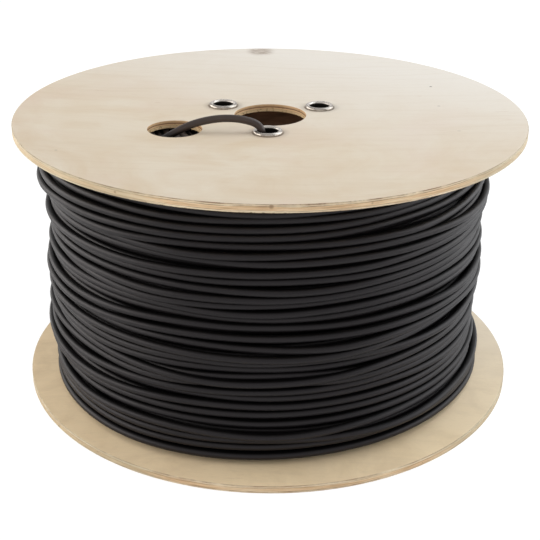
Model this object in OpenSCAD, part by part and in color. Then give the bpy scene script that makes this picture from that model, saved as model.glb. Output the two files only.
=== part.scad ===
// Plywood cable drum with a full winding of cable.
// It stands on its lower rim with its axis along +Z and the origin on the floor below the bore.
// Three steel tie tubes clamp two plywood flanges onto the ends of a cardboard core.

/* [Flanges] */
// Diameter of both flanges
flange_d = 400; // [360:1:460]
// Thickness of the flange plywood
flange_t = 6; // [5:0.5:12]
// Height of the drum over both rims
drum_h = 218; // [160:1:300]
// How far each rim bows outwards past the flat hub
rim_bow = 4; // [2.5:0.5:8]
// Worn chamfer along both edges of a rim
rim_chamfer = 0.5; // [0.2:0.1:1.5]
// Wood left between the spindle bore and a tie tube's hole
bore_web = 7.35; // [3:0.05:14]

/* [Core] */
// Outside diameter of the cardboard core
core_d = 118; // [96:0.5:150]
// Wall of the core
core_wall = 4; // [2:0.5:5]
// Depth of the groove that takes each end of the core
groove_depth = 2; // [1:0.25:3.5]
// Clearance of the core in its grooves, and of the winding around it
core_play = 0.2; // [0.1:0.05:0.5]

/* [Tie tubes] */
// Bore of a tie tube
tube_bore = 16; // [10:0.5:18]
// Wall of a tie tube
tube_wall = 1; // [0.6:0.1:1.6]
// Clearance of a tie tube in its flange holes
tube_play = 0.15; // [0.05:0.05:0.4]
// Gap between a tie tube and the inside of the core
tube_gap = 1; // [0.3:0.1:3]
// Width of the rolled rim at each end of a tie tube
roll_w = 3.5; // [2.4:0.1:4.5]
// Height of the rolled rim over the flange
roll_h = 2.4; // [1.8:0.1:3.5]

/* [Start hole] */
// Diameter of the hole where the cable's inner end comes out
start_d = 42; // [24:1:60]
// Wood left between the core's outside and the start hole
start_gap = 2; // [1:0.5:10]

/* [Cable] */
// Diameter of the cable over its sheath
cable_d = 5.8; // [4:0.1:9]
// Diameter over the winding
wound_d = 340; // [200:1:356]
// Clearance between the winding's end turns and the flanges
end_play = 0.4; // [0.1:0.1:2]

/* [Hidden] */

$fn = 96;
// Overlap that keeps two cuts from sharing a face
eps = 1;

flange_r = flange_d / 2;
core_r = core_d / 2;
core_in_r = core_r - core_wall;

// The hub is the flat middle of a flange, clamped against the core
hub_land = 4;
hub_r = core_r + hub_land;
// Heights of the hub's outer face and of its inner face over the rim that the drum stands on
hub_out = rim_bow;
hub_in = hub_out + flange_t;
// Straight steps that the bow is divided into
bow_steps = 8;

// Tie tubes lie just inside the core, a third of a turn apart, one of them at the front
tube_r = tube_bore / 2 + tube_wall;
tie_r = core_in_r - tube_gap - tube_r;
tie_angles = [-90, 30, 150];
// The spindle bore keeps clear of the tie holes around it
bore_r = tie_r - tube_r - tube_play - bore_web;
// Arc steps of a rolled rim
roll_steps = 12;

// The start hole lies just outside the core, between the front tube and the left one
start_r = core_r + start_gap + start_d / 2;
start_angle = 210;

// The turns of a layer lie closer than a diameter, so that they join into one solid
turn_lap = 0.96;
wound_in_r = core_r + core_play + cable_d / 8;
turn_out_r = wound_d / 2 - cable_d / 2;
turn_in_r = wound_in_r + cable_d * 3 / 8;

ply_colour = [0.87, 0.80, 0.70];
card_colour = [0.36, 0.26, 0.19];
steel_colour = [0.72, 0.72, 0.70];
sheath_colour = [0.13, 0.13, 0.14];

// How far the flange has bowed out at a radius, none on the hub and all of it at the rim
function bow(r) = r <= hub_r ? 0 : rim_bow * pow((r - hub_r) / (flange_r - hub_r), 2);

// Height of the lower flange's outer face, and of the surface that the winding's lower end lies on
function face_z(r) = hub_out - bow(r);
function end_z(r) = face_z(r) + flange_t + end_play;

// Count and spacing of turns that fill a length from end to end
function turns(len) = ceil((len - cable_d) / (cable_d * turn_lap)) + 1;
function spread(from, to, i, n) = from + (to - from) * i / (n - 1);

// Bowed plywood disc with its bore, the core's groove and the tie holes, rim down
module flange_blank() {
    edge_r = flange_r - rim_chamfer;
    radii = [for (i = [0:bow_steps]) spread(hub_r, edge_r, i, bow_steps + 1)];
    under = [for (r = radii) [r, face_z(r)]];
    over = [for (i = [bow_steps:-1:0]) [radii[i], face_z(radii[i]) + flange_t]];
    rim = [[flange_r, rim_chamfer], [flange_r, flange_t - rim_chamfer]];
    difference() {
        rotate_extrude()
            polygon(concat([[bore_r, hub_out]], under, rim, over, [[bore_r, hub_in]]));
        translate([0, 0, hub_in - groove_depth])
            groove_cut();
        for (a = tie_angles)
            rotate(a)
                translate([tie_r, 0, hub_out - eps])
                    cylinder(r = tube_r + tube_play, h = flange_t + 2 * eps);
    }
}

module groove_cut() {
    difference() {
        cylinder(r = core_r + core_play, h = groove_depth + eps);
        translate([0, 0, -eps])
            cylinder(r = core_in_r - core_play, h = groove_depth + 3 * eps);
    }
}

module bottom_flange() {
    color(ply_colour)
        flange_blank();
}

// The upper flange is the lower one turned over, with the start hole
module top_flange() {
    color(ply_colour)
        difference() {
            translate([0, 0, drum_h])
                mirror([0, 0, 1])
                    flange_blank();
            rotate(start_angle)
                translate([start_r, 0, drum_h - hub_in - eps])
                    cylinder(d = start_d, h = hub_in + 2 * eps);
        }
}

// Cardboard tube that stands in the grooves of both flanges
module core_tube() {
    from = hub_in - groove_depth;
    color(card_colour)
        translate([0, 0, from])
            difference() {
                cylinder(r = core_r, h = drum_h - 2 * from);
                translate([0, 0, -eps])
                    cylinder(r = core_in_r, h = drum_h - 2 * from + 2 * eps);
            }
}

// Half outline of a tie tube's upper end: up the bore, over the rolled rim and back in under it
function roll_outline(z) =
    let (c = roll_w / 2)
    concat(
        [for (i = [0:roll_steps])
            let (a = 180 - 180 * i / roll_steps)
            [tube_bore / 2 + c + c * cos(a), z + roll_h - c + c * sin(a)]],
        [[tube_bore / 2 + roll_w, z], [tube_r, z]]);

// Steel tube through both flanges, rolled over outwards at each end
module tie_tube(i) {
    upper = roll_outline(drum_h - hub_out);
    lower = [for (k = [len(upper) - 1:-1:0]) [upper[k][0], drum_h - upper[k][1]]];
    color(steel_colour)
        rotate(tie_angles[i - 1])
            translate([tie_r, 0, 0])
                rotate_extrude()
                    polygon(concat(upper, lower));
}

// One turned solid: every turn shows on its side, and the layers show on both ends
module cable_winding() {
    side_n = turns(drum_h - 2 * end_z(wound_d / 2));
    end_n = turns(wound_d / 2 - wound_in_r);
    side_z = end_z(wound_d / 2) + cable_d / 2;
    side = [for (i = [0:side_n - 1]) [turn_out_r, spread(side_z, drum_h - side_z, i, side_n)]];
    end_r = [for (j = [0:end_n - 2]) spread(turn_in_r, turn_out_r, j, end_n)];
    low = [for (r = end_r) [r, end_z(r) + cable_d / 2]];
    high = [for (j = [end_n - 2:-1:0]) [end_r[j], drum_h - low[j][1]]];
    inner = [[wound_in_r, high[end_n - 2][1]], [wound_in_r, low[0][1]]];
    color(sheath_colour)
        rotate_extrude() {
            polygon(concat(low, side, high, inner));
            for (p = concat(low, side, high))
                translate(p)
                    circle(d = cable_d);
        }
}

// Route of the cable's inner end, with heights over the upper hub's face:
// up out of the start hole, over in a low arch and down the front tie tube
tail_route = [[-80, -51, -5.8], [-77, -50.6, -4.2], [-73, -50, -1.8], [-68, -49.3, 1], [-62, -48.4, 4],
              [-55, -47.4, 6.7], [-47, -46.5, 8.8], [-39, -45.8, 10.1], [-31, -45.3, 10.6],
              [-23, -45.1, 10.3], [-16.5, -45, 9.2], [-11, -45, 7.6], [-7, -45, 5.2], [-5, -45, 2],
              [-4.6, -45, -2], [-4.6, -45, -8], [-4.6, -45, -16], [-4.6, -45, -26]];
tail_sides = 12;
tail_across = [0, 1, 0];

function unit(v) = v / norm(v);

// Direction of the route at its point k
function along(k) =
    let (last = len(tail_route) - 1)
    unit(tail_route[min(k + 1, last)] - tail_route[max(k - 1, 0)]);

// Ring of points around point k, the first one slanted so that the tail starts flat on the winding's end
function tail_ring(k) =
    let (t = along(k), u = unit(cross(tail_across, t)), v = cross(t, u))
    [for (s = [0:tail_sides - 1])
        let (a = 360 * s / tail_sides, o = (u * cos(a) + v * sin(a)) * cable_d / 2)
        tail_route[k] + (k == 0 ? o - t * o[2] / t[2] : o)];

// Free inner end of the cable, a closed tube along its route
module cable_tail() {
    n = len(tail_route);
    m = tail_sides;
    points = [for (k = [0:n - 1]) each tail_ring(k)];
    walls = [for (k = [0:n - 2], s = [0:m - 1])
        [k * m + s, (k + 1) * m + s, (k + 1) * m + (s + 1) % m, k * m + (s + 1) % m]];
    start_cap = [for (s = [0:m - 1]) s];
    far_cap = [for (s = [m - 1:-1:0]) (n - 1) * m + s];
    color(sheath_colour)
        translate([0, 0, drum_h - hub_out])
            polyhedron(points, concat([start_cap], walls, [far_cap]));
}

bottom_flange();
top_flange();
core_tube();
for (i = [1:len(tie_angles)])
    tie_tube(i);
cable_winding();
cable_tail();
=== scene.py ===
import math

import bpy
import numpy as np
from mathutils import Matrix, Vector


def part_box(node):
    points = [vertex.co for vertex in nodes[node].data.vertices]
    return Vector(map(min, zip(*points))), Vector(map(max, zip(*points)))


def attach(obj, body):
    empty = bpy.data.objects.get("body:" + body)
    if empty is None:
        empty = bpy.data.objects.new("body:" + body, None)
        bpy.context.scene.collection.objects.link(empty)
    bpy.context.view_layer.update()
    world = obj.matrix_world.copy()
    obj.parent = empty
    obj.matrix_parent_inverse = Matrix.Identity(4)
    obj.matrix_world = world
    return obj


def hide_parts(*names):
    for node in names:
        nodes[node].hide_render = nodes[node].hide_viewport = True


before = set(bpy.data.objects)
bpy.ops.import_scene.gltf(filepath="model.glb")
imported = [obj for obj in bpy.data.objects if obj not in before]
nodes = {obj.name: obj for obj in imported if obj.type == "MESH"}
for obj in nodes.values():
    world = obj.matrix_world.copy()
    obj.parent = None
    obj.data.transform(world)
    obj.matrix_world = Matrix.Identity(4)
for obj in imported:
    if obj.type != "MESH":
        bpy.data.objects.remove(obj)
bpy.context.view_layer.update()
print("frame:", ", ".join(sorted(nodes)))

# sizes that the looks share, read off the frame (metres)
drum = {
    "rimR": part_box("bottom_flange")[1].y,
    "top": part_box("top_flange")[1].z,
    "coreR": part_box("core_tube")[1].y,
    "windR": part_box("cable_winding")[1].y,
    "ply": 0.006,
    "bow": 0.004,        # rim stands this far out past the hub
    "hubLand": 0.004,    # flat hub ends this far outside the core
    "tubes": ["tie_tube_1", "tie_tube_2", "tie_tube_3"],
}
drum["hubR"] = drum["coreR"] + drum["hubLand"]
drum["hubZ"] = drum["top"] - drum["bow"]    # outer face of the upper hub


# how far the flange has bowed out at radius r
def bowAt(r):
    return drum["bow"] * (max(0.0, r - drum["hubR"]) / (drum["rimR"] - drum["hubR"])) ** 2


# Camera
# fitted to both flange outlines, the bore and the tie tubes
view = {"distance": 0.9009, "azimuth": 2.09, "elevation": 22.61, "aimZ": 0.12714, "roll": 0.5,
        "focalPx": 1095.0, "framePx": 540, "sensorMm": 36, "shift": (0.00124, -0.10025),
        "clip": (0.05, 50)}


def makeCamera():
    az, el = math.radians(view["azimuth"]), math.radians(view["elevation"])
    back = Vector((math.sin(az) * math.cos(el), -math.cos(az) * math.cos(el), math.sin(el)))
    data = bpy.data.cameras.new("camera")
    data.sensor_width = view["sensorMm"]
    data.lens = view["sensorMm"] * view["focalPx"] / view["framePx"]
    data.shift_x, data.shift_y = view["shift"]
    data.clip_start, data.clip_end = view["clip"]
    cam = bpy.data.objects.new("camera", data)
    bpy.context.collection.objects.link(cam)
    place = Matrix.Translation(Vector((0, 0, view["aimZ"])) + back * view["distance"])
    turn = (-back).to_track_quat("-Z", "Y").to_matrix().to_4x4()
    cam.matrix_world = place @ turn @ Matrix.Rotation(math.radians(view["roll"]), 4, "Z")
    bpy.context.scene.camera = cam


makeCamera()


# Node helpers
# inputs go by name, or by number as i0, i1: a socket is linked and anything else is set
def fill(tree, n, inputs):
    for key, value in inputs.items():
        slot = n.inputs[int(key[1:]) if key[1:].isdigit() else key]
        if isinstance(value, bpy.types.NodeSocket):
            tree.links.new(value, slot)
        else:
            slot.default_value = value
    return n


def node(tree, kind, attrs=None, **inputs):
    n = tree.nodes.new("ShaderNode" + kind)
    for key, value in (attrs or {}).items():
        setattr(n, key, value)
    return fill(tree, n, inputs)


def calc(tree, op, a, b=0.0, c=0.0):
    return node(tree, "Math", {"operation": op}, i0=a, i1=b, i2=c).outputs[0]


def vec(tree, op, a, b=(0, 0, 0)):
    out = node(tree, "VectorMath", {"operation": op}, i0=a, i1=b).outputs
    return out["Value" if op in ("LENGTH", "DISTANCE", "DOT_PRODUCT") else "Vector"]


def split(tree, vector):
    return node(tree, "SeparateXYZ", Vector=vector).outputs


def mix(tree, fac, a, b):
    return node(tree, "Mix", {"data_type": "RGBA"}, i0=fac, i6=a, i7=b).outputs[2]


def bump(tree, height, strength, depth):
    return node(tree, "Bump", Height=height, Strength=strength, Distance=depth).outputs[0]


def ramp(tree, fac, stops, smooth="LINEAR"):
    n = node(tree, "ValToRGB", Fac=fac)
    n.color_ramp.interpolation = smooth
    while len(n.color_ramp.elements) < len(stops):
        n.color_ramp.elements.new(0.5)
    for e, (at, colour) in zip(n.color_ramp.elements, stops):
        e.position, e.color = at, colour
    return n.outputs["Color"]


def grey(v):
    return (v, v, v, 1)


# mask that goes through these levels
def levels(tree, fac, stops, smooth="LINEAR"):
    return ramp(tree, fac, [(at, grey(v)) for at, v in stops], smooth)


# the same along a length in metres
def levelsAlong(tree, length, stops):
    low, wide = stops[0][0], stops[-1][0] - stops[0][0]
    share = calc(tree, "MULTIPLY_ADD", length, 1 / wide, -low / wide)
    return levels(tree, share, [((at - low) / wide, v) for at, v in stops])


# mask from nothing at start to most at end
def fade(tree, fac, span):
    start, end, most = span
    return levels(tree, fac, [(start, 0), (end, most)])


# noise by a look's own numbers
def texture(tree, vector, look):
    vector = node(tree, "Mapping", Vector=vector, Scale=look.get("stretch", (1, 1, 1))).outputs[0]
    n = node(tree, "TexNoise", Vector=vector, Scale=look.get("scale", 1.0), Detail=look["detail"],
             Roughness=look.get("rough", 0.5), Distortion=look.get("swirl", 0.0))
    return n.outputs["Fac"]


def layer(tree, vector, look):
    return fade(tree, texture(tree, vector, look), look["fade"])


def newMaterial(name):
    mat = bpy.data.materials.new(name)
    mat.use_nodes = True
    return mat, mat.node_tree, mat.node_tree.nodes["Principled BSDF"]


# 8-bit colour to the linear values that sockets take
def srgb(*rgb):
    return (*(v / 255 / 12.92 if v <= 10 else ((v / 255 + 0.055) / 1.055) ** 2.4 for v in rgb), 1)


# Plywood
plywood = {
    "pale": srgb(225, 211, 191), "warm": srgb(217, 197, 171), "pink": srgb(222, 201, 184),
    "sheenPale": srgb(231, 223, 213), "inside": srgb(244, 220, 182), "stain": srgb(176, 146, 108),
    "grain": srgb(192, 169, 137), "speck": srgb(84, 64, 48), "veneer": srgb(241, 223, 192),
    "glue": srgb(118, 82, 52), "corePly": srgb(232, 201, 161), "streak": srgb(176, 136, 96),
    "drilled": srgb(228, 190, 146), "sawn": srgb(228, 200, 156), "cut": srgb(104, 66, 38),
    # dull: the greyer tone of the painted shade at both sides of the cut edge
    "dull": srgb(165, 157, 131),
    "rough": 0.5, "roughLines": 0.15, "sheen": 0.3,
    "lineHeight": 0.5, "streakHeight": 0.6, "relief": 0.25, "reliefM": 0.0003,
    "faceUp": 0.85,      # steeper than this is a cut edge
    "holesWithin": 0.8,  # share of the rim's radius, inside it a cut edge is a hole's wall
    "spotSolid": 0.35, "knotSolid": 0.3,    # share of a mark's radius before it eases out
}

# face veneer: a fade is start, end and strength
veneer = {
    "clouds": {"stretch": (9, 11, 1), "scale": 1.3, "detail": 5, "rough": 0.6, "swirl": 1.2,
               "fade": (0.36, 0.66, 1), "insideFade": (0.3, 0.7, 0.25)},
    "blush": {"stretch": (11, 9, 1), "scale": 1.1, "detail": 3, "rough": 0.55,
              "fade": (0.5, 0.72, 0.5)},
    "stains": {"stretch": (22, 26, 1), "detail": 5, "rough": 0.65, "swirl": 0.8,
               "fade": (0.46, 0.75, 0.28)},
    "paler": {"way": (0.45, 0.89, 0), "levels": [(-0.06, 0), (0.16, 1)],   # painted sheen: paler towards the back right, where the face reflects the white behind it
              "inside": 0.5},
    "bend": {"stretch": (3, 5, 1), "detail": 2, "size": 0.05},
    "lines": {"stretch": (9, 150, 1), "detail": 5, "rough": 0.62, "fade": (0.5, 0.82, 0.2)},
    "pores": {"stretch": (110, 900, 1), "detail": 2, "fade": (0.6, 0.8, 0.22),
              "knotLevels": [(0.4, 0.2), (0.6, 1)]},
    "dashes": {"stretch": (46, 330, 1), "detail": 2, "fade": (0.68, 0.78, 0.5)},
    "dashPatches": {"stretch": (9, 14, 1), "detail": 2, "fade": (0.5, 0.62, 1)},
    "tubeShadow": [(0.0113, 0.75), (0.012, 0.6), (0.0128, 0.14), (0.017, 0)],   # painted contact shadow, by distance from a tube's axis
}

# cut edge: levels are at shares of the thickness, from the outer face
cutEdge = {
    "plies": [(0.22, "veneer"), (0.3, "corePly"), (0.7, "corePly"), (0.78, "veneer")],
    "wobble": {"stretch": (1, 1, 0.2), "scale": 34, "detail": 4, "rough": 0.6, "size": 0.0016},
    "streaks": {"stretch": (70, 70, 1500), "detail": 5, "rough": 0.7, "fade": (0.44, 0.7, 0.7)},
    "sawMarks": {"stretch": (26, 26, 640), "detail": 3, "rough": 0.6, "fade": (0.5, 0.66, 0.55),
                 "paleLevels": [(0.34, 0.6), (0.48, 0)]},
    "glueLines": [(0.19, 0), (0.215, 1), (0.25, 1), (0.29, 0),
                  (0.7, 0), (0.735, 0.75), (0.755, 0.75), (0.785, 0)],
    "broken": {"scale": 75, "detail": 3, "rough": 0.6, "levels": [(0.34, 0.1), (0.58, 0.85)]},
    "torn": {"stretch": (170, 170, 420), "detail": 2, "fade": (0.72, 0.76, 0.75)},
    "arris": [(0.0, 0.9), (0.06, 0.81), (0.13, 0), (0.87, 0), (0.95, 0.54), (1.0, 0.63)],
    "splinters": {"stretch": (420, 420, 160), "detail": 2, "fade": (0.52, 0.6, 0.8)},
    "ragged": [(0.0, 0.4), (0.05, 0), (0.88, 0)], "raggedEnd": 0.96,
    "painted_shading": [(-0.088, 0.5), (-0.056, 0), (0.12, 0), (0.152, 0.5)],   # along X, greyer at both sides: painted shade where the side lamps light the cut edge
}

# walls of the drilled holes: brown lines above, pale torn fibres below
holeWall = {
    "sawnFade": (0.45, 0.7, 1),
    "streakFade": (0.4, 0.66, 0.45),
    "cuts": [(0.12, 0), (0.2, 0.315), (0.28, 0.135), (0.33, 0.9), (0.4, 0.9),
             (0.46, 0), (0.6, 0), (0.64, 0.36), (0.69, 0)],
    "fuzz": {"stretch": (420, 420, 700), "detail": 3, "rough": 0.6, "fade": (0.54, 0.66, 0.8),
             "levels": [(0.3, 0.15), (0.8, 1)]},
}

# faceZ is the hub's outer face, side is 1 where it looks up; marks have place, radius and strength
flanges = {
    "top_flange": {
        "material": "plywood_top", "faceZ": drum["hubZ"], "side": 1, "shift": 0.0, "ragged": 0.9,
        "spots": [((0.1344, 0.083), 0.0015, 1.0), ((0.1358, 0.0284), 0.0018, 0.3),
                  ((0.1444, -0.0366), 0.002, 0.15), ((-0.148, -0.1033), 0.0015, 0.3)],
        "faceKnots": [((-0.0165, 0.1895), 0.016, 0.75)],
        "rimKnots": [((0.0085, -0.1998, 0.2166), 0.0022, 0.55), ((-0.0935, -0.1768, 0.2150), 0.0014, 0.4),
                     ((0.0720, -0.1866, 0.2152), 0.0012, 0.35)],
    },
    "bottom_flange": {
        "material": "plywood_bottom", "faceZ": drum["bow"], "side": -1, "shift": 3.7, "ragged": 0.12,
        "spots": [], "faceKnots": [], "rimKnots": [],
    },
}


def tubeAxes():
    boxes = [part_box(name) for name in drum["tubes"]]
    return [((low.x + high.x) / 2, (low.y + high.y) / 2, 0) for low, high in boxes]


# round mark that eases out at its radius
def markAt(tree, vector, place, size, strength, solid):
    far = calc(tree, "DIVIDE", vec(tree, "DISTANCE", vector, place), size)
    return levels(tree, far, [(solid, strength), (1.0, 0)], "EASE")


# where a point lies on its flange: depth under the outer face, and share of the thickness
def flangePlace(tree, flange):
    coord = node(tree, "TexCoord").outputs["Object"]
    x, y, z = split(tree, coord)
    flat = node(tree, "CombineXYZ", X=x, Y=y, Z=flange["shift"]).outputs[0]
    r = vec(tree, "LENGTH", node(tree, "CombineXYZ", X=x, Y=y).outputs[0])
    run = drum["rimR"] - drum["hubR"]
    out = calc(tree, "MAXIMUM", calc(tree, "MULTIPLY_ADD", r, 1 / run, -drum["hubR"] / run), 0.0)
    bow = calc(tree, "MULTIPLY", calc(tree, "MULTIPLY", out, out), drum["bow"])
    under = calc(tree, "MULTIPLY_ADD", z, -flange["side"], flange["side"] * flange["faceZ"])
    depth = calc(tree, "ADD", under, bow)
    size = cutEdge["wobble"]["size"]
    wobble = calc(tree, "MULTIPLY_ADD", texture(tree, coord, cutEdge["wobble"]), size, -size / 2)
    share = calc(tree, "DIVIDE", calc(tree, "ADD", depth, wobble), drum["ply"])
    return {"coord": coord, "flat": flat, "x": x, "r": r, "depth": depth, "share": share}


# cloudy patches, faint grain along X, fine pores, short brown dashes and single marks
def faceColour(tree, flange, at, lines):
    p, v, flat = plywood, veneer, at["flat"]
    clouds = texture(tree, flat, v["clouds"])
    outer = mix(tree, fade(tree, clouds, v["clouds"]["fade"]), p["pale"], p["warm"])
    outer = mix(tree, layer(tree, flat, v["blush"]), outer, p["pink"])
    # painted sheen: the face turns paler and more neutral towards the back right, the inner faces half as
    # much
    way = vec(tree, "DOT_PRODUCT", flat, v["paler"]["way"])
    paler = levelsAlong(tree, way, v["paler"]["levels"])
    outer = mix(tree, paler, outer, p["sheenPale"])
    # inner faces: warmer and more yellow, painted warm bounce light from the wood around them
    inner = mix(tree, fade(tree, clouds, v["clouds"]["insideFade"]), p["inside"], p["warm"])
    inner = mix(tree, layer(tree, flat, v["stains"]), inner, p["stain"])
    inner = mix(tree, calc(tree, "MULTIPLY", paler, v["paler"]["inside"]), inner, p["sheenPale"])
    face = mix(tree, calc(tree, "GREATER_THAN", at["depth"], drum["ply"] / 2), outer, inner)
    face = mix(tree, fade(tree, lines, v["lines"]["fade"]), face, p["grain"])
    pores = texture(tree, flat, v["pores"])
    face = mix(tree, fade(tree, pores, v["pores"]["fade"]), face, p["grain"])
    dashes = calc(tree, "MULTIPLY", layer(tree, flat, v["dashes"]), layer(tree, flat, v["dashPatches"]))
    face = mix(tree, dashes, face, p["streak"])
    for (x, y), size, strength in flange["spots"]:
        mark = markAt(tree, flat, (x, y, flange["shift"]), size, strength, p["spotSolid"])
        face = mix(tree, mark, face, p["speck"])
    for (x, y), size, strength in flange["faceKnots"]:           # drawn out along the grain
        mark = markAt(tree, flat, (x, y, flange["shift"]), size, strength, p["spotSolid"])
        mark = calc(tree, "MULTIPLY", mark, levels(tree, pores, v["pores"]["knotLevels"]))
        face = mix(tree, mark, face, p["glue"])
    # painted contact shadow in a ring around the foot of each tie tube
    for x, y, _ in tubeAxes():
        far = vec(tree, "DISTANCE", flat, (x, y, flange["shift"]))
        face = mix(tree, levelsAlong(tree, far, v["tubeShadow"]), face, p["speck"])
    return face


# outer veneer, glue line, thick core ply, glue line and inner veneer, sawn and a little torn
def edgeColour(tree, flange, at, streaks):
    p, c, coord, share = plywood, cutEdge, at["coord"], at["share"]
    plies = ramp(tree, share, [(place, p[ply]) for place, ply in c["plies"]])
    plies = mix(tree, fade(tree, streaks, c["streaks"]["fade"]), plies, p["streak"])
    saw = texture(tree, coord, c["sawMarks"])
    plies = mix(tree, fade(tree, saw, c["sawMarks"]["fade"]), plies, p["streak"])
    plies = mix(tree, levels(tree, saw, c["sawMarks"]["paleLevels"]), plies, p["veneer"])
    broken = levels(tree, texture(tree, coord, c["broken"]), c["broken"]["levels"])
    glue = calc(tree, "MULTIPLY", levels(tree, share, c["glueLines"]), broken)
    plies = mix(tree, glue, plies, p["glue"])
    plies = mix(tree, layer(tree, coord, c["torn"]), plies, p["speck"])
    arris = calc(tree, "MULTIPLY", levels(tree, share, c["arris"]), broken)
    plies = mix(tree, arris, plies, p["glue"])
    ragged = levels(tree, share, [*c["ragged"], (c["raggedEnd"], flange["ragged"])])
    splinters = calc(tree, "MULTIPLY", layer(tree, coord, c["splinters"]), ragged)
    plies = mix(tree, splinters, plies, p["speck"])
    # painted shade: the cut edge turns greyer towards the left and right
    plies = mix(tree, levelsAlong(tree, at["x"], c["painted_shading"]), plies, p["dull"])
    for place, size, strength in flange["rimKnots"]:
        mark = markAt(tree, coord, place, size, strength, p["knotSolid"])
        plies = mix(tree, mark, plies, p["glue"])
    return plies


def wallColour(tree, at, streaks):
    p, h, share = plywood, holeWall, at["share"]
    wall = mix(tree, fade(tree, share, h["sawnFade"]), p["drilled"], p["sawn"])
    wall = mix(tree, fade(tree, streaks, h["streakFade"]), wall, p["streak"])
    wall = mix(tree, levels(tree, share, h["cuts"]), wall, p["cut"])
    below = levels(tree, share, h["fuzz"]["levels"])
    return mix(tree, calc(tree, "MULTIPLY", layer(tree, at["coord"], h["fuzz"]), below), wall, p["cut"])


def makePlywood(flange):
    mat, tree, bsdf = newMaterial(flange["material"])
    p = plywood
    at = flangePlace(tree, flange)
    bend = calc(tree, "MULTIPLY", texture(tree, at["flat"], veneer["bend"]), veneer["bend"]["size"])
    bent = vec(tree, "ADD", at["flat"], node(tree, "CombineXYZ", Y=bend).outputs[0])
    lines = texture(tree, bent, veneer["lines"])
    streaks = texture(tree, at["coord"], cutEdge["streaks"])
    inHole = calc(tree, "LESS_THAN", at["r"], drum["rimR"] * p["holesWithin"])
    edge = mix(tree, inHole, edgeColour(tree, flange, at, streaks), wallColour(tree, at, streaks))
    up = calc(tree, "ABSOLUTE", split(tree, node(tree, "NewGeometry").outputs["Normal"])[2])
    onFace = calc(tree, "GREATER_THAN", up, p["faceUp"])
    height = calc(tree, "MULTIPLY_ADD", lines, p["lineHeight"],
                  calc(tree, "MULTIPLY", streaks, p["streakHeight"]))
    fill(tree, bsdf, {
        "Base Color": mix(tree, onFace, edge, faceColour(tree, flange, at, lines)),
        "Roughness": calc(tree, "MULTIPLY_ADD", lines, p["roughLines"], p["rough"]),
        "Specular IOR Level": p["sheen"],
        "Normal": bump(tree, height, p["relief"], p["reliefM"]),
    })
    return mat


# Bright zinc on the tie tubes, with fine scratches, painted shade that makes it dull and dark inside the
# bore, and a painted highlight on the lip
zinc = {
    "dim": srgb(148, 140, 132), "bright": srgb(188, 180, 172), "lip": srgb(200, 192, 184),
    "bore": srgb(36, 32, 28), "boreR": 0.0083,
    "boreLevels": [(0.002398, 0), (0.00327, 1)],  # how far in from a rim the painted shade turns it dark
    "lipLevels": [(0.0094, 1), (0.01, 0)],        # from a tube's axis, where the mouth opens out: painted highlight
    "lipMetal": -0.35,
    "bloom": {"scale": 160, "detail": 4, "rough": 0.6},
    "scratches": {"stretch": (500, 500, 2500), "detail": 3},
    "rough": 0.2, "roughScratches": 0.16, "roughBore": 0.15, "relief": 0.15, "reliefM": 0.0001,
}


def makeSteel():
    mat, tree, bsdf = newMaterial("tie_steel")
    coord = node(tree, "TexCoord").outputs["Object"]
    x, y, z = split(tree, coord)
    flat = node(tree, "CombineXYZ", X=x, Y=y).outputs[0]
    far = 1.0
    for axis in tubeAxes():
        far = calc(tree, "MINIMUM", far, vec(tree, "DISTANCE", flat, axis))
    mid = drum["top"] / 2
    below = calc(tree, "SUBTRACT", mid, calc(tree, "ABSOLUTE", calc(tree, "SUBTRACT", z, mid)))
    # painted shade: dark and rougher deeper inside the bore
    inside = calc(tree, "MULTIPLY", calc(tree, "LESS_THAN", far, zinc["boreR"]),
                  levelsAlong(tree, below, zinc["boreLevels"]))
    # painted highlight: a paler, less metallic band where the mouth opens out
    lip = levelsAlong(tree, far, zinc["lipLevels"])
    bloom = texture(tree, coord, zinc["bloom"])
    colour = ramp(tree, bloom, [(0.3, zinc["dim"]), (0.7, zinc["bright"])])
    colour = mix(tree, lip, colour, zinc["lip"])
    scratches = texture(tree, coord, zinc["scratches"])
    rough = calc(tree, "MULTIPLY_ADD", scratches, zinc["roughScratches"], zinc["rough"])
    fill(tree, bsdf, {
        "Base Color": mix(tree, inside, colour, zinc["bore"]),
        "Metallic": calc(tree, "MULTIPLY_ADD", lip, zinc["lipMetal"], 1.0),
        "Roughness": calc(tree, "MULTIPLY_ADD", inside, zinc["roughBore"], rough),
        "Normal": bump(tree, scratches, zinc["relief"], zinc["reliefM"]),
    })
    return mat


# Brown card of the core, spirally wound
card = {
    "dark": srgb(150, 114, 90), "light": srgb(178, 140, 112), "seam": srgb(104, 78, 60),
    "windsPerM": 9.0, "seamLevels": [(0.0, 0.4), (0.02, 0), (0.98, 0), (1.0, 0.4)],
    "fibres": {"stretch": (60, 60, 400), "detail": 4, "rough": 0.6},
    "rough": 0.85, "relief": 0.3, "reliefM": 0.0003,
}


def makeCard():
    mat, tree, bsdf = newMaterial("core_card")
    coord = node(tree, "TexCoord").outputs["Object"]
    x, y, z = split(tree, coord)
    turn = calc(tree, "MULTIPLY", calc(tree, "ARCTAN2", y, x), 1 / (2 * math.pi))
    spiral = calc(tree, "FRACT", calc(tree, "MULTIPLY_ADD", z, card["windsPerM"], turn))
    fibres = texture(tree, coord, card["fibres"])
    colour = ramp(tree, fibres, [(0.3, card["dark"]), (0.7, card["light"])])
    fill(tree, bsdf, {
        "Base Color": mix(tree, levels(tree, spiral, card["seamLevels"]), colour, card["seam"]),
        "Roughness": card["rough"],
        "Normal": bump(tree, fibres, card["relief"], card["reliefM"]),
    })
    return mat


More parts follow.
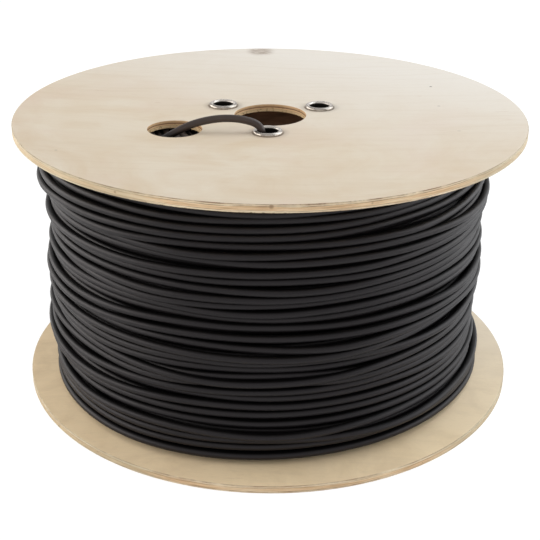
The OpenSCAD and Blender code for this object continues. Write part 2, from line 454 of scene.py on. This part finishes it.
# Black sheath: satin, a little dusty, with faint marks along the cable
sheath = {
    "drawn": {"stretch": (60, 900, 1), "detail": 3, "rough": 0.6},    # metres along and around
    "dust": {"scale": 30, "detail": 4, "rough": 0.6, "fade": (0.45, 0.75, 0.3)},
    "grit": {"stretch": (1500, 2500, 1), "detail": 2},
    "unshaded": (0.42, 0.82, 1),                                        # by how far it faces outwards, less gets the painted shade of the grooves
    "sheen": 0.3, "grooveSheen": 0.12, "unshadedSheen": 0.18, "tint": (1.0, 0.94, 0.975, 1),
    "inHole": [(-0.001333, 0), (0.004167, 1)],                        # height over the upper hub, below it the painted shadow of the start hole
    "roughDust": 0.2, "relief": 0.12, "reliefM": 0.0001,
    "wound": {"material": "cable_sheath", "shade": "grooves", "rough": 0.38, "dark": srgb(13, 11, 12),
              "light": srgb(20, 17, 18), "dusty": srgb(33, 29, 30), "black": srgb(10, 9, 9)},
    # tail: a lighter copy of the sheath, painted top light on the loose end
    "tail": {"material": "cable_sheath_handled", "shade": "hole", "rough": 0.28, "dark": srgb(57, 48, 44),
             "light": srgb(69, 59, 54), "dusty": srgb(88, 77, 71), "black": srgb(16, 13, 13)},
    # inner: a lighter copy of the sheath, painted light on the end turns in the start hole
    "inner": {"material": "cable_sheath_inner", "shade": None, "rough": 0.3, "dark": srgb(40, 34, 33),
              "light": srgb(52, 45, 43), "dusty": srgb(66, 58, 55)},
}


def makeSheath(look):
    mat, tree, bsdf = newMaterial(look["material"])
    s, sheen = sheath, sheath["sheen"]
    uv = node(tree, "UVMap").outputs[0]
    coord = node(tree, "TexCoord").outputs["Object"]
    dust = texture(tree, coord, s["dust"])
    colour = ramp(tree, texture(tree, uv, s["drawn"]), [(0.3, look["dark"]), (0.75, look["light"])])
    colour = mix(tree, fade(tree, dust, s["dust"]["fade"]), colour, look["dusty"])
    if look["shade"] == "grooves":                # painted shade: black between turns, with less sheen, and the outsides kept
        level = vec(tree, "NORMALIZE", vec(tree, "MULTIPLY", coord, (1, 1, 0)))
        outward = vec(tree, "DOT_PRODUCT", node(tree, "NewGeometry").outputs["Normal"], level)
        unshaded = fade(tree, outward, s["unshaded"])
        colour = mix(tree, unshaded, look["black"], colour)
        sheen = calc(tree, "MULTIPLY_ADD", unshaded, s["unshadedSheen"], s["grooveSheen"])
    elif look["shade"] == "hole":                 # painted shadow: black inside the start hole
        high = calc(tree, "SUBTRACT", split(tree, coord)[2], drum["hubZ"])
        colour = mix(tree, levelsAlong(tree, high, s["inHole"]), look["black"], colour)
    fill(tree, bsdf, {
        "Base Color": colour,
        "Roughness": calc(tree, "MULTIPLY_ADD", dust, s["roughDust"], look["rough"]),
        "Specular IOR Level": sheen,
        "Specular Tint": s["tint"],
        "Normal": bump(tree, texture(tree, uv, s["grit"]), s["relief"], s["reliefM"]),
    })
    return mat


def dress(name, mat):
    nodes[name].data.materials.clear()
    nodes[name].data.materials.append(mat)


for name, flange in flanges.items():
    dress(name, makePlywood(flange))
dress("core_tube", makeCard())
steel = makeSteel()
for name in drum["tubes"]:
    dress(name, steel)
woundMat, tailMat, innerMat = (makeSheath(sheath[look]) for look in ("wound", "tail", "inner"))
print("materials done")


# Cable
cable = {"d": 0.0058, "sides": 12}


# closed tube along points, side gives the first direction of each ring
def sweepTube(name, points, side, sides, mat):
    along = np.gradient(points, axis=0)
    along /= np.linalg.norm(along, axis=1, keepdims=True)
    u = side - along * (side * along).sum(1, keepdims=True)
    u /= np.linalg.norm(u, axis=1, keepdims=True)
    v = np.cross(along, u)
    a = np.arange(sides) / sides * 2 * np.pi
    ring = u[:, None] * np.cos(a)[None, :, None] + v[:, None] * np.sin(a)[None, :, None]
    verts = (points[:, None] + ring * cable["d"] / 2).reshape(-1, 3)
    n = len(points)
    i, j = np.meshgrid(np.arange(n - 1), np.arange(sides), indexing="ij")
    nextJ = (j + 1) % sides
    quads = np.stack([i * sides + j, i * sides + nextJ, (i + 1) * sides + nextJ, (i + 1) * sides + j], -1)
    quads = quads.reshape(-1, 4)
    caps = [list(range(sides))[::-1], list(range((n - 1) * sides, n * sides))]
    mesh = bpy.data.meshes.new(name)
    mesh.from_pydata(verts.tolist(), [], quads.tolist() + caps)
    length = np.concatenate([[0], np.cumsum(np.linalg.norm(np.diff(points, axis=0), axis=1))])
    girth = np.pi * cable["d"] / sides
    uv = np.stack([length[np.stack([i, i, i + 1, i + 1], -1)],       # metres along and metres around
                   girth * np.stack([j, j + 1, j + 1, j], -1)], -1).reshape(-1, 2)
    uv = np.concatenate([uv, np.zeros((2 * sides, 2))])
    mesh.uv_layers.new(name="UVMap").data.foreach_set("uv", uv.astype(np.float32).ravel())
    mesh.polygons.foreach_set("use_smooth", [True] * len(quads) + [False, False])
    mesh.materials.append(mat)
    obj = bpy.data.objects.new(name, mesh)
    bpy.context.collection.objects.link(obj)
    return obj


# directions outwards at these angles, and points at radius r and height z there
def outAt(angle):
    return np.stack([np.cos(angle), np.sin(angle), np.zeros_like(angle)], -1)


def pointsAt(out, r, z):
    return out * r[:, None] + np.stack([0 * z, 0 * z, z], -1)


# Winding
# the outer layers are laid turn by turn: each turn wanders, slides into the grooves
# between the turns under it, and rides over those that it crosses
winding = {
    "turns": 32, "layers": 3, "sectors": 180, "startDeg": 90, "seed": 25,
    "wander": [(0.22, 0.0010), (0.9, 0.0016)],    # length of a wave and metres
    "waves": 4, "waveSpread": (0.7, 1.4), "phases": (0, 6.3),
    "strays": 16, "strayM": (0.003, 0.0075), "strayTurns": (0.06, 0.16),
    "settle": 40, "slide": 0.003, "slideRate": 0.00012, "slideStep": 0.00025, "steepest": 0.05,
    "carry": 30, "ease": 24, "join": 6,           # sectors over which a turn goes on from the last one
    "soften": 2,                                  # sectors that a slide is evened out over
    "stiffen": (12, 3), "smooth": (2, 2),         # rounds and reach of the bends
    "play": 0.0004, "grow": 0.0003, "layerRise": 0.93, "tuck": 16, "tuckDeep": 0.9,
    "lean": 0.0045, "leanDeg": 200,               # thicker towards the front left
    "tilt": 0.0028, "tiltDeg": 270,               # at the front it comes out further below than above
    # bulges and hollows: degrees around, how wide, height, how tall (metres) and how far out
    "bulges": [(195, 55, 0.218, 0.03, 0.008), (193, 40, 0.188, 0.018, 0.003), (238, 17, 0, 0.03, 0.0112),
               (338, 35, 0, 0.03, 0.0112), (351, 40, 0.2, 0.03, -0.0045), (351, 40, 0.115, 0.025, 0.003)],
}


def wander(angle, rng):
    out = np.zeros_like(angle)
    for long, size in winding["wander"]:
        for _ in range(winding["waves"]):
            wave = long * rng.uniform(*winding["waveSpread"])
            out += size / 2 * np.sin(angle / wave + rng.uniform(*winding["phases"]))
    return out


# places where a turn strays across its neighbours and comes back
def strays(turn, rng):
    out = np.zeros_like(turn)
    for at in rng.uniform(0, turn[-1], winding["strays"]):
        wide = rng.uniform(*winding["strayTurns"])
        far = rng.choice((-1, 1)) * rng.uniform(*winding["strayM"])
        out += far * np.exp(-((turn - at) / wide) ** 2)
    return out


# bell-shaped mean along the cable, before is the stretch that was laid last
def blur(values, reach, before):
    line = np.pad(np.concatenate([before, values]), 3 * reach, mode="edge")
    bell = np.exp(-0.5 * (np.arange(-3 * reach, 3 * reach + 1) / reach) ** 2)
    return np.convolve(line, bell / bell.sum(), mode="valid")[len(before):]


# radius at which a turn at height z lies on the turns below, and how that falls off with z
def rest(z, laidZ, laidR, ground):
    cols = np.arange(len(z))
    floor = ground(z)
    dz = z[None] - laidZ
    deep = cable["d"] ** 2 - dz ** 2
    lift = np.where(deep > 0, laidR + np.sqrt(np.maximum(deep, 0)), 0)
    top = lift.argmax(0)
    best = lift[top, cols]
    fall = np.sqrt(np.maximum(deep[top, cols], cable["d"] ** 2 * winding["steepest"]))
    return np.maximum(best, floor), np.where(best > floor, -dz[top, cols] / fall, 0)


def layTurns(low, high, ground):
    w = winding
    rng = np.random.default_rng(w["seed"])
    count = w["turns"] * w["layers"]
    turn = np.arange(count * w["sectors"]) / w["sectors"]
    sweep = np.abs((turn / w["turns"] + 1) % 2 - 1)       # 0 at one flange, 1 at the other
    aim = low + (high - low) * sweep + wander(turn * 2 * np.pi, rng) + strays(turn, rng)
    aim = np.clip(aim, low, high).reshape(count, -1)
    ease = np.clip(np.arange(w["sectors"]) / w["ease"], 0, 1)
    ease = ease * ease * (3 - 2 * ease)
    join = np.clip(np.arange(1, w["sectors"] + 1) / w["join"], 0, 1)
    laidZ = np.full((1, w["sectors"]), -1.0)              # a first row out of reach
    laidR = ground(np.full(w["sectors"], low))[None]
    for k in range(count):
        zBefore = laidZ[-1][-w["carry"]:] if k else aim[0][:1]
        rBefore = laidR[-1][-w["carry"]:]
        z = zBefore[-1] + (aim[k] - zBefore[-1]) * (ease if k else 1)
        start = z.copy()
        for _ in range(w["settle"]):
            slope = rest(z, laidZ, laidR, ground)[1]
            z = z - np.clip(slope * w["slideRate"], -w["slideStep"], w["slideStep"]) * ease
            z = np.clip(z, start - w["slide"], start + w["slide"])
            z = np.clip(blur(z, w["soften"], zBefore), low, high)
            z = zBefore[-1] + (z - zBefore[-1]) * join
        support = rest(z, laidZ, laidR, ground)[0]
        r = support
        for _ in range(w["stiffen"][0]):
            r = np.maximum(support, blur(r, w["stiffen"][1], rBefore))
        for _ in range(w["smooth"][0]):
            r = blur(r, w["smooth"][1], rBefore)
        laidZ, laidR = np.vstack([laidZ, z]), np.vstack([laidR, r])
    return laidZ[1:], laidR[1:]


# lower end of the winding at radius r, the upper end is its mirror
def endZ(r):
    return drum["bow"] - bowAt(r) + drum["ply"] + winding["play"]


def makeWinding():
    w, d = winding, cable["d"]
    outer = drum["windR"] + w["grow"]
    low = endZ(outer) + d / 2
    floor = outer - d / 2 - (w["layers"] - 1) * d * w["layerRise"]
    around = np.arange(w["sectors"]) / w["sectors"] * 2 * np.pi + math.radians(w["startDeg"])
    lean = floor + w["lean"] * np.cos(around - math.radians(w["leanDeg"]))
    tilt = w["tilt"] * np.maximum(0, np.cos(around - math.radians(w["tiltDeg"])))

    # what the first of these layers lies on
    def ground(z):
        up = z / (drum["top"] / 2) - 1             # -1 at the lower flange, 1 at the upper one
        r = lean - tilt * up
        for at, wide, height, tall, size in w["bulges"]:
            off = (np.degrees(around) - at + 180) % 360 - 180
            r = r + size * np.exp(-(off / wide) ** 2 - ((z - height) / tall) ** 2)
        return r

    z, r = layTurns(low, drum["top"] - low, ground)
    print("winding radius", round(float(r[-w["turns"]:].min()), 4), "to", round(float(r.max()), 4))
    # the outer end dives in between two turns
    tuck = np.clip(1 - np.arange(z.size)[::-1] / w["tuck"], 0, 1)
    reach = r.ravel() - d * w["tuckDeep"] * tuck * tuck * (3 - 2 * tuck)
    out = outAt(np.arange(z.size) / w["sectors"] * 2 * np.pi + math.radians(w["startDeg"]))
    points = pointsAt(out, reach, z.ravel())
    step = w["turns"] * w["sectors"]
    pieces = []
    for k in range(w["layers"]):
        part = slice(k * step, min((k + 1) * step + 1, len(points)))
        name = f"winding_layer_{k + 1}"
        pieces.append(sweepTube(name, points[part], out[part], cable["sides"], woundMat))
    return pieces, floor - w["lean"]


# what the outer layers lie on: a closed drum, a little inside the outlines of its turns
windingBody = {"coreGap": 0.0003, "sideIn": 0.2, "endIn": 0.45, "steps": 12, "around": 120}


def makeWindingBody(floor):
    b, d = windingBody, cable["d"]
    r0, r1 = drum["coreR"] + b["coreGap"], floor - d * b["sideIn"]
    radii = [r0 + (r1 - r0) * i / b["steps"] for i in range(b["steps"] + 1)]
    profile = [(r, endZ(r) + d * b["endIn"]) for r in radii]
    profile += [(r, drum["top"] - z) for r, z in reversed(profile)]
    around, n = b["around"], len(profile)
    a = np.arange(around) / around * 2 * np.pi
    verts = [(r * math.cos(t), r * math.sin(t), z) for t in a for r, z in profile]
    quads = []
    for i in range(around):
        here, there = i * n, (i + 1) % around * n
        quads += [(here + j, there + j, there + (j + 1) % n, here + (j + 1) % n) for j in range(n)]
    mesh = bpy.data.meshes.new("winding_body")
    mesh.from_pydata(verts, [], quads)
    mesh.uv_layers.new(name="UVMap")
    mesh.materials.append(woundMat)
    obj = bpy.data.objects.new("winding_body", mesh)
    bpy.context.collection.objects.link(obj)
    return obj


# end turns of the inner layers under the upper flange, seen through the start hole, in a lighter sheath of
# painted light
endTurns = {"pitch": 1.02, "first": 0.55, "sectors": 96, "sides": 8, "sag": 0.0012, "waves": (0.37, 0.11)}


def makeEndTurns(floor):
    e, d = endTurns, cable["d"]
    count = int((floor - drum["coreR"] - d) / (d * e["pitch"]))
    turn = np.arange(count * e["sectors"]) / e["sectors"]
    r = drum["coreR"] + d * e["first"] + turn * d * e["pitch"]
    angle = turn * 2 * np.pi
    z = drum["top"] - np.array([endZ(x) for x in r]) - d / 2
    long, short = e["waves"]
    z -= e["sag"] * (1 + np.sin(angle * long) * np.sin(angle * short + 1))
    out = outAt(angle)
    return sweepTube("winding_end_turns", pointsAt(out, r, z), out, e["sides"], innerMat)


layers, floorR = makeWinding()
for piece in [*layers, makeWindingBody(floorR), makeEndTurns(floorR)]:
    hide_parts("cable_winding")
    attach(piece, "root")
print("winding done")


# Tail
# the inner end's route out of the start hole and down the front tube, in mm, heights over the upper hub
tail = {
    "overHub": [(-80, -51, -5.8), (-77, -50.6, -4.2), (-73, -50, -1.8), (-68, -49.3, 1), (-62, -48.4, 4),
                (-55, -47.4, 6.7), (-47, -46.5, 8.8), (-39, -45.8, 10.1), (-31, -45.3, 10.6),
                (-23, -45.1, 10.3), (-16.5, -45, 9.2), (-11, -45, 7.6), (-7, -45, 5.2), (-5, -45, 2),
                (-4.6, -45, -2), (-4.6, -45, -8), (-4.6, -45, -16), (-4.6, -45, -26)],
    "mm": 0.001, "between": 4, "sides": 16,
}


# smooth curve through the points, with more of them between each pair
def smoothRoute(points, between):
    p = np.vstack([2 * points[0] - points[1], points, 2 * points[-1] - points[-2]])
    t = np.arange(between)[:, None] / between
    out = []
    for a, b, c, e in zip(p[:-3], p[1:-2], p[2:-1], p[3:]):
        bent = (2 * a - 5 * b + 4 * c - e) * t ** 2 + (3 * b - 3 * c + e - a) * t ** 3
        out.append(0.5 * (2 * b + (c - a) * t + bent))
    return np.vstack([*out, points[-1:]])


def makeTail():
    points = np.array(tail["overHub"]) * tail["mm"] + np.array([0, 0, drum["hubZ"]])
    path = smoothRoute(points, tail["between"])
    side = np.tile([0.0, 1.0, 0.0], (len(path), 1))
    piece = sweepTube("cable_tail_run", path, side, tail["sides"], tailMat)
    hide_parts("cable_tail")
    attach(piece, "root")


makeTail()


# Floor and light
# what looks at the white: the camera, or a reflection
def seenRays(tree):
    path = node(tree, "LightPath").outputs
    return path["Is Camera Ray"], calc(tree, "MAXIMUM", path["Is Glossy Ray"], path["Is Transmission Ray"])


# white floor that keeps a faint shadow
studioFloor = {"half": 8.0, "lit": 0.8, "shown": 0.25, "glow": 0.86, "mirrored": 0.3}


def makeFloor():
    f, s = studioFloor, studioFloor["half"]
    mesh = bpy.data.meshes.new("floor")
    mesh.from_pydata([(-s, -s, 0), (s, -s, 0), (s, s, 0), (-s, s, 0)], [], [(0, 1, 2, 3)])
    floor = bpy.data.objects.new("floor", mesh)
    bpy.context.collection.objects.link(floor)
    mat, tree, bsdf = newMaterial("floor_white")
    tree.nodes.remove(bsdf)
    camera, gloss = seenRays(tree)
    white = node(tree, "BsdfDiffuse", Color=mix(tree, camera, grey(f["lit"]), grey(f["shown"])))
    strength = calc(tree, "MULTIPLY_ADD", camera, f["glow"], calc(tree, "MULTIPLY", gloss, f["mirrored"]))
    glow = node(tree, "Emission", Color=grey(1), Strength=strength)
    both = node(tree, "AddShader", i0=white.outputs[0], i1=glow.outputs[0])
    tree.links.new(both.outputs[0], tree.nodes["Material Output"].inputs[0])
    mesh.materials.append(mat)


# the white room around the drum: how bright its walls and ceiling look from the middle
room = {"left": 0.4, "right": 0.1, "back": 0.1, "front": 0.9, "top": 0.53, "mirrored": 0.1, "backdrop": 0.8}
ways = {"left": (0, -1), "right": (0, 1), "back": (1, 1), "front": (1, -1), "top": (2, 1)}

# place, size, watts and colour
lamps = {"left_wall": ((-1.5, 0.0, 0.55), (2.2, 1.0), 24, (1.0, 0.97, 0.92)),
         "right_wall": ((1.5, 0.2, 0.55), (2.2, 1.0), 19, (0.97, 0.99, 1.0)),
         "top_right": ((0.9, 0.5, 1.4), (1.0, 1.0), 10, (0.86, 0.95, 1.0))}
lampAim = Vector((0, 0, 0.12))


def areaLight(name, place, size, power, colour):
    data = bpy.data.lights.new(name, "AREA")
    data.shape, data.size, data.size_y = "RECTANGLE", size[0], size[1]
    data.energy, data.color = power, colour
    lamp = bpy.data.objects.new(name, data)
    bpy.context.collection.objects.link(lamp)
    lamp.location = place
    lamp.rotation_euler = (lampAim - Vector(place)).to_track_quat("-Z", "Y").to_euler()


def makeLight():
    world = bpy.data.worlds.new("studio")
    bpy.context.scene.world = world
    world.use_nodes = True
    tree = world.node_tree
    way = split(tree, node(tree, "TexCoord").outputs["Generated"])

    # squared cosine towards a wall
    def facing(side):
        axis, sign = ways[side]
        share = calc(tree, "MAXIMUM", calc(tree, "MULTIPLY", way[axis], sign), 0.0)
        return calc(tree, "MULTIPLY", share, share)

    light = 0.0
    for side in ways:
        light = calc(tree, "MULTIPLY_ADD", facing(side), room[side], light)
    camera, gloss = seenRays(tree)                 # the camera sees plain white
    white = calc(tree, "MULTIPLY_ADD", facing("back"), room["backdrop"], room["mirrored"])
    light = calc(tree, "MULTIPLY_ADD", gloss, white, light)
    shown = calc(tree, "MAXIMUM", camera, light)
    fill(tree, tree.nodes["Background"], {"Color": grey(1), "Strength": shown})
    for name, (place, size, power, colour) in lamps.items():
        areaLight(name, place, size, power, colour)
    bpy.context.scene.view_settings.view_transform = "Standard"


makeFloor()
makeLight()
print("floor and light done")
